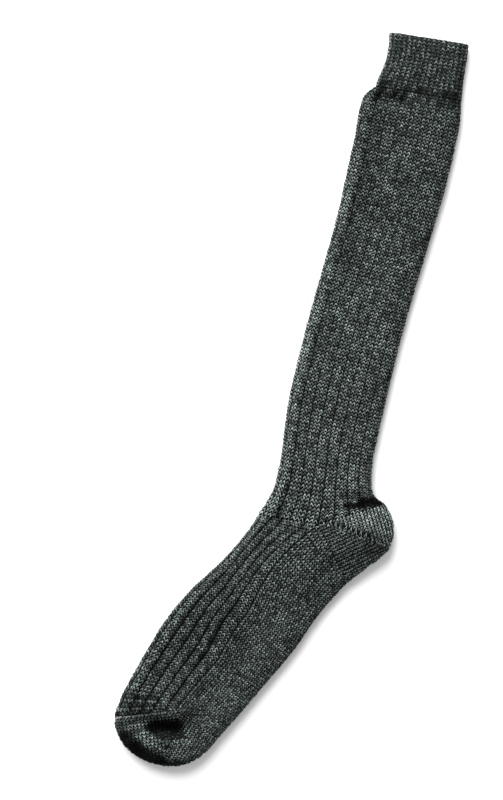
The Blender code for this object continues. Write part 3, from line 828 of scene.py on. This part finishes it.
def stitch_tree():
    """A loop of two tapered legs, set on every point of a stitch bed."""
    tree = bpy.data.node_groups.new("knitted_stitches", "GeometryNodeTree")
    tree.interface.new_socket("Bed", in_out="INPUT", socket_type="NodeSocketGeometry")
    group_input(tree, "Yarn radius", "NodeSocketFloat", YARN)
    group_input(tree, "Loop width", "NodeSocketFloat", LOOP_WIDTH)
    group_input(tree, "Loop height", "NodeSocketFloat", LOOP_HEIGHT)
    group_input(tree, "Narrow end", "NodeSocketFloat", 0.05)
    group_input(tree, "Wide end", "NodeSocketFloat", 0.48)
    group_input(tree, "Tail", "NodeSocketFloat", 0.60)
    group_input(tree, "Arch", "NodeSocketFloat", 0.0007)
    group_input(tree, "Wobble", "NodeSocketFloat", 0.24)
    group_input(tree, "Seed", "NodeSocketInt", SEED)
    tree.interface.new_socket("Wool", in_out="INPUT", socket_type="NodeSocketMaterial")
    tree.interface.new_socket("Stitches", in_out="OUTPUT", socket_type="NodeSocketGeometry")
    sizes = tree.nodes.new("NodeGroupInput").outputs
    width, height = sizes["Loop width"], sizes["Loop height"]
    heights = [math_node(tree, "MULTIPLY", height, part) for part in (-0.36, -0.05, 0.34)]
    heights.append(math_node(tree, "MULTIPLY", height, sizes["Tail"]))
    lifts = [math_node(tree, "MULTIPLY", sizes["Arch"], part) for part in (-0.10, 0.31, 1.20, -0.90)]
    join = tree.nodes.new("GeometryNodeJoinGeometry")
    for side in (-1.0, 1.0):
        leg = tree.nodes.new("GeometryNodeCurvePrimitiveBezierSegment")
        leg.mode = "POSITION"
        leg.inputs["Resolution"].default_value = 3
        narrow = math_node(tree, "MULTIPLY", math_node(tree, "MULTIPLY", width, sizes["Narrow end"]), side)
        wide = math_node(tree, "MULTIPLY", math_node(tree, "MULTIPLY", width, sizes["Wide end"]), side)
        across = (wide, math_node(tree, "MULTIPLY", wide, 0.64),
                  math_node(tree, "MULTIPLY", narrow, -1.8), narrow)
        for spot, x, y, z in zip(("Start", "Start Handle", "End Handle", "End"), across, heights, lifts):
            link(tree, vector_of(tree, x, y, z), leg.inputs[spot])
        link(tree, leg.outputs[0], join.inputs[0])
    share = tree.nodes.new("GeometryNodeSplineParameter").outputs["Factor"]
    bulge = math_node(tree, "SINE", math_node(tree, "MULTIPLY", share, math.pi))
    radius = math_node(tree, "MULTIPLY", sizes["Yarn radius"],
                       math_node(tree, "ADD", 0.72, math_node(tree, "MULTIPLY", bulge, 0.28)))
    legs = store(tree, join.outputs[0], "yarn_run", share)
    circle = tree.nodes.new("GeometryNodeCurvePrimitiveCircle")
    circle.inputs["Resolution"].default_value = 5
    circle.inputs["Radius"].default_value = 1.0
    where = tree.nodes.new("GeometryNodeInputPosition").outputs[0]
    profile = store(tree, circle.outputs["Curve"], "yarn_round", where, "FLOAT_VECTOR")
    tubes = tree.nodes.new("GeometryNodeCurveToMesh")
    link(tree, legs, tubes.inputs["Curve"])
    link(tree, profile, tubes.inputs["Profile Curve"])
    link(tree, radius, tubes.inputs["Scale"])
    split = tree.nodes.new("ShaderNodeSeparateXYZ")
    link(tree, where, split.inputs[0])
    # Height in the loop, which the wool turns into painted shade and light
    lift = math_node(tree, "DIVIDE", split.outputs["Z"], sizes["Yarn radius"])
    loop = store(tree, tubes.outputs[0], "lift", lift)
    face = tree.nodes.new("FunctionNodeAxesToRotation")
    face.primary_axis = "Z"
    face.secondary_axis = "Y"
    link(tree, named(tree, "out", "FLOAT_VECTOR"), face.inputs["Primary Axis"])
    link(tree, named(tree, "along", "FLOAT_VECTOR"), face.inputs["Secondary Axis"])
    wobble = tree.nodes.new("FunctionNodeRandomValue")
    wobble.data_type = "FLOAT_VECTOR"
    link(tree, sizes["Seed"], wobble.inputs["Seed"])
    less = math_node(tree, "MULTIPLY", sizes["Wobble"], -1.0)
    link(tree, vector_of(tree, less, less, less), wobble.inputs["Min"])
    link(tree, vector_of(tree, sizes["Wobble"], sizes["Wobble"], sizes["Wobble"]), wobble.inputs["Max"])
    turned = tree.nodes.new("FunctionNodeRotateRotation")
    turned.rotation_space = "LOCAL"
    small = tree.nodes.new("FunctionNodeEulerToRotation")
    link(tree, wobble.outputs["Value"], small.inputs[0])
    link(tree, face.outputs[0], turned.inputs["Rotation"])
    link(tree, small.outputs[0], turned.inputs["Rotate By"])
    on_points = tree.nodes.new("GeometryNodeInstanceOnPoints")
    link(tree, sizes["Bed"], on_points.inputs["Points"])
    link(tree, loop, on_points.inputs["Instance"])
    link(tree, turned.outputs[0], on_points.inputs["Rotation"])
    link(tree, named(tree, "size", "FLOAT_VECTOR"), on_points.inputs["Scale"])
    real = tree.nodes.new("GeometryNodeRealizeInstances")
    link(tree, on_points.outputs[0], real.inputs["Geometry"])
    smooth = tree.nodes.new("GeometryNodeSetShadeSmooth")
    link(tree, real.outputs[0], smooth.inputs["Geometry"])
    finish = tree.nodes.new("GeometryNodeSetMaterial")
    link(tree, smooth.outputs[0], finish.inputs["Geometry"])
    link(tree, sizes["Wool"], finish.inputs["Material"])
    link(tree, finish.outputs[0], tree.nodes.new("NodeGroupOutput").inputs[0])
    return tree


STITCHES = stitch_tree()


def set_out(name, data):
    """Puts some data into the scene as an object."""
    thing = bpy.data.objects.new(name, data)
    bpy.context.scene.collection.objects.link(thing)
    return thing


def socket_of(tree, name):
    return next(item.identifier for item in tree.interface.items_tree if item.name == name)


def press_flat(mesh):
    """The table presses the lowest stitches flat."""
    spots = np.zeros(len(mesh.vertices) * 3, dtype=np.float32)
    mesh.vertices.foreach_get("co", spots)
    spots[2::3] = np.maximum(spots[2::3], 0.0)
    mesh.vertices.foreach_set("co", spots)
    mesh.update()


def knit(name, slot, beds, wool, uneven=0.6, **inputs):
    """Knits the stitches of some beds into one piece."""
    parts = [bed.whole() for bed in beds]
    place, along, out, size, tone = (np.concatenate(column) for column in zip(*parts))
    random = np.random.default_rng(SEED + len(tone))
    tone = tone * random.uniform(1.0 - uneven, 1.0 + uneven, len(tone))
    place = place + random.normal(0.0, SCATTER, place.shape)
    points = bpy.data.meshes.new(name + "_bed")
    points.from_pydata([tuple(p) for p in place - MIDDLE], [], [])
    for label, values in (("along", along), ("out", out), ("size", size)):
        layer = points.attributes.new(label, "FLOAT_VECTOR", "POINT")
        layer.data.foreach_set("vector", np.asarray(values, dtype=np.float32).ravel())
    layer = points.attributes.new("tone", "FLOAT", "POINT")
    layer.data.foreach_set("value", np.asarray(tone, dtype=np.float32))
    bed_object = set_out(name + "_bed", points)
    modifier = bed_object.modifiers.new("Stitches", "NODES")
    modifier.node_group = STITCHES
    modifier[socket_of(STITCHES, "Wool")] = wool
    modifier[socket_of(STITCHES, "Seed")] = SEED + len(tone)
    for label, value in inputs.items():
        modifier[socket_of(STITCHES, label.replace("_", " "))] = value
    graph = bpy.context.evaluated_depsgraph_get()
    mesh = bpy.data.meshes.new_from_object(bed_object.evaluated_get(graph), depsgraph=graph)
    mesh.name = name
    bpy.data.objects.remove(bed_object, do_unlink=True)
    press_flat(mesh)
    piece = set_out(name, mesh)
    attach(piece, "root")
    return piece


# The cloth under the stitches

def wall_piece(name, node, outer, inner, closed, tones, wool):
    """A closed wall between an outer and an inner face, each a list of rows of points."""
    rows, count = len(outer), len(outer[0])
    verts = np.vstack(outer + inner) - MIDDLE
    faces = []
    inside = rows * count
    last = (rows - 1) * count
    for place in range(count if closed else count - 1):
        after = (place + 1) % count
        for row in range(rows - 1):
            low, high = row * count, (row + 1) * count
            faces.append((low + place, low + after, high + after, high + place))
            low, high = low + inside, high + inside
            faces.append((high + place, high + after, low + after, low + place))
        faces.append((place, inside + place, inside + after, after))
        faces.append((last + after, inside + last + after, inside + last + place, last + place))
    if not closed:
        for row in range(rows - 1):
            low, high = row * count, (row + 1) * count
            faces.append((low, high, inside + high, inside + low))
            low, high = low + count - 1, high + count - 1
            faces.append((inside + low, inside + high, high, low))
    mesh = bpy.data.meshes.new(name)
    mesh.from_pydata([tuple(v) for v in verts], [], faces)
    mesh.shade_smooth()
    layer = mesh.attributes.new("tone", "FLOAT", "POINT")
    layer.data.foreach_set("value", np.concatenate((tones, np.full(rows * count, 0.8))).astype(np.float32))
    mesh.materials.append(wool)
    piece = set_out(name, mesh)
    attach(piece, "root")
    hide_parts(node)
    return piece


def tube_skin(name, node, tube, rows, count, relief, wool):
    turns = np.arange(count) / count
    outer, inner, tones = [], [], []
    for share in np.linspace(0.0, 1.0, rows):
        line = tube.line(share)
        deep = relief(turns, share)
        points = ring(line, turns, deep + SKIN_SINK)
        shade, extra = painted_shade_and_sink_at(points)
        points[:, 2] -= np.minimum(extra, DEEPEST_SKIN_SINK)
        outer.append(points)
        inner.append(ring(line, turns, deep + WALL))
        tones.append(shade)
    return wall_piece(name, node, outer, inner, True, np.concatenate(tones), wool)


def pocket_skin(name, node, pocket, turns, wool):
    shares = np.concatenate((np.linspace(0.002, 1.0, 26), np.linspace(1.0, 1.998, 26)[1:]))
    outer, inner, tones = [], [], []
    for turn in turns:
        points = np.array([pocket.point(turn, share, True, SKIN_SINK) for share in shares])
        shade, _extra = painted_shade_and_sink_at(points)
        outer.append(points)
        inner.append(np.array([pocket.point(turn, share, True, WALL) for share in shares]))
        tones.append(shade)
    return wall_piece(name, node, outer, inner, False, np.concatenate(tones), wool)


# Relief and tone of each section

def drawn_ribs(ribs, count, first, closeness):
    """Turns of each rib's plain wales, which draw together beside the sunk wale."""
    offsets = (np.arange(RIB_WALES) - (RIB_WALES - 1) / 2) * closeness / RIB_WALES
    return (np.arange(first, first + count)[:, None] + offsets).ravel() / ribs


def painted_fold_light(turns):
    """The first rib on the front fold is stretched and has a painted highlight; the hollow after it and the
    back get painted shade.
    """
    return np.interp(np.asarray(turns) % 1.0, *zip(*PAINTED_FOLD_LIGHT))


def front_hollow(turns):
    """Extra depth of the hollow beside the first rib."""
    return 0.0012 * np.exp(-((np.asarray(turns) - 0.084) / 0.010) ** 2)


def leg_relief(turns, share):
    turns = np.asarray(turns)
    depth = RIB_DEPTH * np.interp(share, (0.0, 0.12, 0.30, 0.45, 0.9, 1.0), (1.5, 1.4, 1.0, 0.7, 0.6, 0.6))
    near_corner = np.exp(-((turns - 0.25) / 0.06) ** 2) * np.interp(share, (0.0, 0.08, 0.2), (1.0, 0.8, 0.0))
    return rib_relief(turns, LEG_RIBS, depth) * (1.0 - 0.85 * near_corner) + front_hollow(turns)


def cuff_relief(turns, share):
    return rib_relief(turns, CUFF_RIBS, CUFF_RIB_DEPTH * 1.3)


def by_leg_ribs(turns):
    """The turn on the leg that has as many ribs before it as this turn of the instep."""
    turns = np.asarray(turns) % 1.0
    return np.where(turns < 0.2, turns * 2 * INSTEP_RIBS / LEG_RIBS, turns)


def foot_relief(turns, share):
    turns = np.asarray(turns)
    front = np.cos(2 * math.pi * turns) > -0.02
    depth = RIB_DEPTH * np.interp(share, (0.0, 0.10, 0.3, 1.0), (0.8, 1.5, 1.9, 1.7))
    near_corner = np.exp(-((turns - 0.25) / 0.03) ** 2) * np.interp(share, (0.6, 0.85), (0.0, 1.0))
    ribs = np.where(front, rib_relief(turns, 2 * INSTEP_RIBS, depth), 0.0) * (1.0 - near_corner)
    return ribs + front_hollow(by_leg_ribs(turns))


def foot_skin_relief(turns, share):
    turns = np.asarray(turns)
    return foot_relief(turns - instep_spread(share) * np.sin(2 * math.pi * turns), share)


# Painted shade in the grooves between the ribs
def painted_groove_shade(turns, ribs, dark, softness=2.0):
    off = np.abs((np.asarray(turns) * ribs + 0.5) % 1.0 - 0.5)
    return 1.0 - dark * np.clip((off - 0.15) / 0.35, 0.0, 1.0) ** softness


def gathered(turns):
    """Painted shade and light by turns in the folds where the leg is gathered into the cuff."""
    turns = np.asarray(turns)
    return 0.58 + 0.42 * np.cos(2 * math.pi * (23 * turns + 0.35 * np.sin(2 * math.pi * 7 * turns)))


# Darker towards the cuff; painted shade in the gathers, in the grooves and on the folds, painted light on
# the front rib
def leg_tone_and_painted_shade(turns, share):
    level = np.interp(share, (0.0, 0.4, 0.75, 0.975), (1.12, 1.09, 0.88, 0.80))
    level = level * (gathered(turns) if share > 0.978 else 1.0)
    groove = np.interp(share, (0.0, 0.25, 0.5, 1.0), (0.50, 0.45, 0.38, 0.30))
    return level * painted_groove_shade(turns, LEG_RIBS, groove) * painted_fold_light(turns)


# Darker than the leg and darker towards the leg; painted shade on the folds, most on the back fold, and in
# the gathers at the leg
def cuff_tone_and_painted_shade(turns, share):
    back = np.interp(np.asarray(turns) % 1.0, (0.0, 0.02, 0.42, 0.49, 0.60), (0.8, 1.0, 1.0, 0.65, 0.85))
    junction = gathered(turns) if share < 0.14 else 1.0
    return 0.64 * back * junction * np.interp(share, (0.0, 0.08, 0.2), (0.75, 0.85, 1.0))


# Painted shade in the instep's grooves, on every other course of the gathers by the toe and on the folds,
# painted light on the front rib
def foot_tone_and_painted_shade(turns, share):
    front = np.cos(2 * math.pi * turns) > -0.02
    ridge = share < 0.09 and int(share * FOOT_COURSES) % 2 == 0
    gathers = np.where(np.abs(turns) < 0.15, 1.0 - 0.70 * ridge, 1.0)
    instep = 1.064 * painted_groove_shade(turns, 2 * INSTEP_RIBS, 0.75, 1.0) * gathers
    return np.where(front, instep, 0.95) * painted_fold_light(by_leg_ribs(turns))


def heel_painted_light(turn, share):
    """Painted light on the upper half, which faces the light, and painted shade on the lower half."""
    return 1.30 if turn > HEEL_SUTURE_TURN else 0.85


def toe_gather_painted_shade(turn, share):
    """Painted shade in the valleys of the gathers beside the linked seam, painted light on their ridges."""
    fold = toe.ray(turn)[3] / GATHER_DEPTH
    return 0.88 + 0.4 * fold * min(share * 2.0, 1.0)


# Making the pieces

WOOL = marled_yarn("marled_wool", YARN_DARK, YARN_LIGHT)
PAINTED_SHADE_WOOL = painted_shade_cloth("painted_shade_between_stitches", PAINTED_SHADE_DARK, PAINTED_SHADE_LIGHT)

cuff = Tube(cuff_stations(), 0.002)
leg = Tube(leg_stations())
foot = Tube(foot_stations())
heel = heel_pocket()
toe = toe_pocket()

cuff_skin = tube_skin("cuff_cloth", "cuff", cuff, 18, 144, cuff_relief, PAINTED_SHADE_WOOL)
leg_skin = tube_skin("leg_cloth", "leg", leg, 70, 108, leg_relief, PAINTED_SHADE_WOOL)
foot_skin = tube_skin("foot_cloth", "foot", foot, 50, 108, foot_skin_relief, PAINTED_SHADE_WOOL)
heel_skin = pocket_skin("heel_cloth", "heel", heel,
                        np.linspace(HEEL_SOLE_TURN, HEEL_TOP_TURN, 28), PAINTED_SHADE_WOOL)
toe_skin = pocket_skin("toe_cloth", "toe", toe,
                       np.linspace(TOE_SEAM_TURN, TOE_SOLE_TURN, 48), PAINTED_SHADE_WOOL)

leg_wale = 1.0 / (LEG_RIBS * RIB_WALES)


def leg_courses(first, last):
    """Beds of some of the leg's courses; the ribs draw together towards the ankle."""
    beds = []
    for course in range(first, last):
        closeness = np.interp(course / LEG_COURSES, (0.0, 0.15, 0.35, 0.5), (0.89, 0.91, 0.94, 0.96))
        turns = drawn_ribs(LEG_RIBS, LEG_RIBS, 0, closeness)
        beds.append(tube_bed(leg, course, course + 1, LEG_COURSES, turns, leg_wale * closeness,
                             leg_relief, leg_tone_and_painted_shade))
    return beds


third = LEG_COURSES // 3
for piece_name, first, last in (("leg_knit_lower", 0, third), ("leg_knit_middle", third, 2 * third),
                                ("leg_knit_upper", 2 * third, LEG_COURSES)):
    knit(piece_name, "leg_wool", leg_courses(first, last), WOOL)

cuff_turns = np.arange(CUFF_RIBS) / CUFF_RIBS


def valley_painted_shade(turns, share):
    """Painted shade on the sunk wales between the cuff's ribs."""
    return 0.35 * cuff_tone_and_painted_shade(turns, share)


def mouth_lining():
    """The backs of the stitches just inside the mouth of the cuff."""
    bed = Bed()
    for course in range(CUFF_COURSES - LINING_COURSES, CUFF_COURSES):
        share, half = (course + 0.5) / CUFF_COURSES, 0.5 / CUFF_COURSES
        turns = cuff_turns + 0.5 / CUFF_RIBS
        deep = cuff_relief(turns, share) + WALL
        before, line, after = (cuff.line(share + step) for step in (-half, 0.0, half))
        along = ring(after, turns, deep) - ring(before, turns, deep)
        across = ring(line, turns + 0.5 / CUFF_RIBS, deep) - ring(line, turns - 0.5 / CUFF_RIBS, deep)
        place = ring(line, turns, deep + 0.3 * YARN)
        # Tone 0.45: painted shade inside the mouth
        bed.add(place, along, across, ring(line, turns, deep + 0.001) - place, np.full(len(turns), 0.45))
    return bed


def mouth_edge():
    """The cast-on edge: a chain of links round the mouth of the cuff."""
    bed = Bed()
    turns = np.arange(2 * CUFF_RIBS) / (2 * CUFF_RIBS)
    line = cuff.line(1.0)
    step = 0.25 / CUFF_RIBS
    deep = cuff_relief(turns, 1.0) + 0.5 * WALL
    place = ring(line, turns, deep)
    along = 1.25 * (ring(line, turns + step, deep) - ring(line, turns - step, deep))
    up = place - ring(cuff.line(0.97), turns, deep)
    up /= np.linalg.norm(up, axis=1)[:, None]
    across = np.cross(along, up)
    across *= (EDGE_LINK_WIDTH / np.linalg.norm(across, axis=1))[:, None]
    bed.add(place, along, across, up, np.full(len(turns), 0.85))
    return bed


cuff_knit = knit("cuff_knit", "cuff_wool",
                 [tube_bed(cuff, 0, CUFF_COURSES, CUFF_COURSES, cuff_turns, 1.0 / CUFF_RIBS, cuff_relief,
                           cuff_tone_and_painted_shade, width=0.94),
                  tube_bed(cuff, 0, CUFF_COURSES, CUFF_COURSES, cuff_turns + 0.5 / CUFF_RIBS,
                           1.0 / CUFF_RIBS, cuff_relief, valley_painted_shade, width=0.55),
                  mouth_lining(), mouth_edge()],
                 WOOL, Narrow_end=0.14, Wide_end=0.42, Tail=0.68)

instep_turns = drawn_ribs(2 * INSTEP_RIBS, INSTEP_RIBS, -(INSTEP_RIBS - 1) // 2, INSTEP_CLOSE)
instep_wale = INSTEP_CLOSE / (2 * INSTEP_RIBS * RIB_WALES)
instep_knit = knit("instep_knit", "foot_wool",
                   [tube_bed(foot, 0, FOOT_COURSES, FOOT_COURSES, instep_turns, instep_wale, foot_relief,
                             foot_tone_and_painted_shade, foot_wales)], WOOL)
sole_turns = 0.25 + (np.arange(SOLE_WALES) + 0.5) / (2 * SOLE_WALES)
sole_knit = knit("sole_knit", "foot_wool",
                 [tube_bed(foot, 0, FOOT_COURSES, FOOT_COURSES, sole_turns, 0.5 / SOLE_WALES, foot_relief,
                           foot_tone_and_painted_shade, foot_wales)], WOOL, Narrow_end=0.07, Wide_end=0.38)


def suture_links():
    """Pale links that bridge the row of holes along the heel's suture."""
    step = (np.array(SUTURE_END) - np.array(SUTURE_START)) / SUTURE_HOLES
    bed = Bed()
    for link_number in range(SUTURE_HOLES):
        flat = SUTURE_START + step * (link_number + 0.5)
        place = heel.flat_point(*flat, True, YARN)[None, :]
        across = np.array([[*step, 0.0]])
        along = np.array([[-step[1], step[0], 0.0]]) * 0.95
        bed.add(place, along, across, np.array([[0.0, 0.0, 1.0]]), np.array([1.25]), width=0.60)
    return bed


heel_knit = knit("heel_knit", "heel_wool",
                 [pocket_bed(heel, HEEL_TOP_TURN, HEEL_SUTURE_TURN, -1.0, heel_painted_light),
                  pocket_bed(heel, HEEL_SOLE_TURN, HEEL_SUTURE_TURN, 1.0, heel_painted_light),
                  suture_links()], WOOL, uneven=0.35, Narrow_end=0.11, Wide_end=0.36, Tail=0.75)
toe_knit = knit("toe_knit", "toe_wool",
                [pocket_bed(toe, TOE_SOLE_TURN, TOE_SUTURE_TURN, -1.0, toe_gather_painted_shade),
                 pocket_bed(toe, TOE_SEAM_TURN, TOE_SUTURE_TURN, 1.0, toe_gather_painted_shade)], WOOL, uneven=0.45,
                Narrow_end=0.07, Wide_end=0.40, Tail=0.70)


def seam_bed():
    """Links along the toe seam, each one overlapping the next."""
    turns = np.linspace(-0.249, 0.249, 241)
    path = ring(toe_line(), turns, SEAM_CORD / 2)
    run = np.concatenate(([0.0], np.cumsum(np.linalg.norm(np.diff(path, axis=0), axis=1))))
    count = int(run[-1] / SEAM_LINK)
    spots = (np.arange(count) + 0.5) / count * run[-1]

    def on_path(shift):
        return np.column_stack([np.interp(spots + shift, run, path[:, k]) for k in range(3)])

    place = on_path(0.0)
    along = on_path(PROBE) - on_path(-PROBE)
    along *= (SEAM_LINK / np.linalg.norm(along, axis=1))[:, None]
    outer = ring(toe_line(), np.interp(spots, run, turns), -0.001)
    outward = outer - place
    across = np.cross(along, outward)
    across *= (SEAM_LINK_WIDTH / np.linalg.norm(across, axis=1))[:, None]
    bed = Bed()
    shade, _extra = painted_shade_and_sink_at(place)
    bed.add(place, along, across, outward, 1.15 * shade)
    return bed


seam = knit("toe_seam_links", "seam_wool", [seam_bed()], WOOL)
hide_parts("toe_seam")


# Floor, light and camera

FLOOR_REACH = 3.0
FLOOR_DROP = 0.0002
KEY_PLACE = (-1.0, 1.25, 1.15)
KEY_SIZE = 2.3
KEY_POWER = 120.0
SKY_STRENGTH = 0.68
# The camera looks straight down; at SCALE_HEIGHT a pixel of the photograph is PIXEL wide
CAMERA_HEIGHT = 2.4
SCALE_HEIGHT = 0.008
VIEW_CENTRE = (-0.0427, -0.0072)


def floor_piece():
    mesh = bpy.data.meshes.new("floor")
    sides = ((-1, -1), (1, -1), (1, 1), (-1, 1))
    mesh.from_pydata([(x * FLOOR_REACH, y * FLOOR_REACH, -FLOOR_DROP) for x, y in sides], [], [(0, 1, 2, 3)])
    paper = bpy.data.materials.new("white_paper")
    paper.use_nodes = True
    shader = paper.node_tree.nodes["Principled BSDF"]
    shader.inputs["Base Color"].default_value = (0.86, 0.86, 0.86, 1.0)
    shader.inputs["Roughness"].default_value = 0.9
    mesh.materials.append(paper)
    floor = set_out("floor", mesh)


def key_light():
    lamp = bpy.data.lights.new("key", "AREA")
    lamp.shape = "DISK"
    lamp.size = KEY_SIZE
    lamp.energy = KEY_POWER
    light = set_out("key", lamp)
    light.location = KEY_PLACE
    light.rotation_mode = "QUATERNION"
    light.rotation_quaternion = (-Vector(KEY_PLACE)).to_track_quat("-Z", "Y")


def white_sky():
    world = bpy.data.worlds.new("studio")
    world.use_nodes = True
    background = world.node_tree.nodes["Background"]
    background.inputs["Color"].default_value = (1.0, 1.0, 1.0, 1.0)
    background.inputs["Strength"].default_value = SKY_STRENGTH
    bpy.context.scene.world = world


def camera_above():
    camera = bpy.data.cameras.new("camera")
    camera.sensor_width = 36.0
    camera.lens = camera.sensor_width * (CAMERA_HEIGHT - SCALE_HEIGHT) / (PHOTO_HEIGHT * PIXEL)
    camera.clip_end = 20.0
    holder = set_out("camera", camera)
    holder.location = (*VIEW_CENTRE, CAMERA_HEIGHT)
    holder.rotation_euler = (0.0, 0.0, math.radians(PHOTO_TURN))
    bpy.context.scene.camera = holder


floor_piece()
key_light()
white_sky()
camera_above()
bpy.context.scene.view_settings.view_transform = "Standard"
